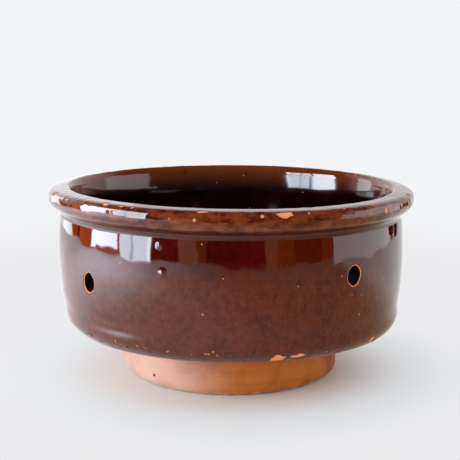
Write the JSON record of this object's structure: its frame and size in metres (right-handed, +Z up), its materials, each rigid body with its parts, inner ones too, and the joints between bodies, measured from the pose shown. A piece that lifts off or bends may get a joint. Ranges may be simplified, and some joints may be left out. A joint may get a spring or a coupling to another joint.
{
  "type": "footed strainer bowl",
  "caption": "Round glazed earthenware bowl with a rolled rim, punched drain holes in the wall and floor, and a bare clay foot ring.",
  "frame": {"origin": "centre of the foot ring's base, on the surface the bowl stands on", "axes": "+Z up along the axis of turning; +X and +Y through two of the four drain holes in the wall"},
  "size_m": [0.19, 0.19, 0.0979],
  "materials": {
    "clay": "bare fired red earthenware, fine turning lines",
    "slip": "dry fired slip",
    "glaze": "glossy red-brown glaze with pinholes"
  },
  "bodies": {
    "root": {"bowl_body": "clay", "rim_roll": "clay", "rim_slip": "slip", "foot_ring": "clay", "foot_slip": "slip", "outer_glaze": "glaze", "inner_glaze": "glaze"}
  },
  "joints": []
}
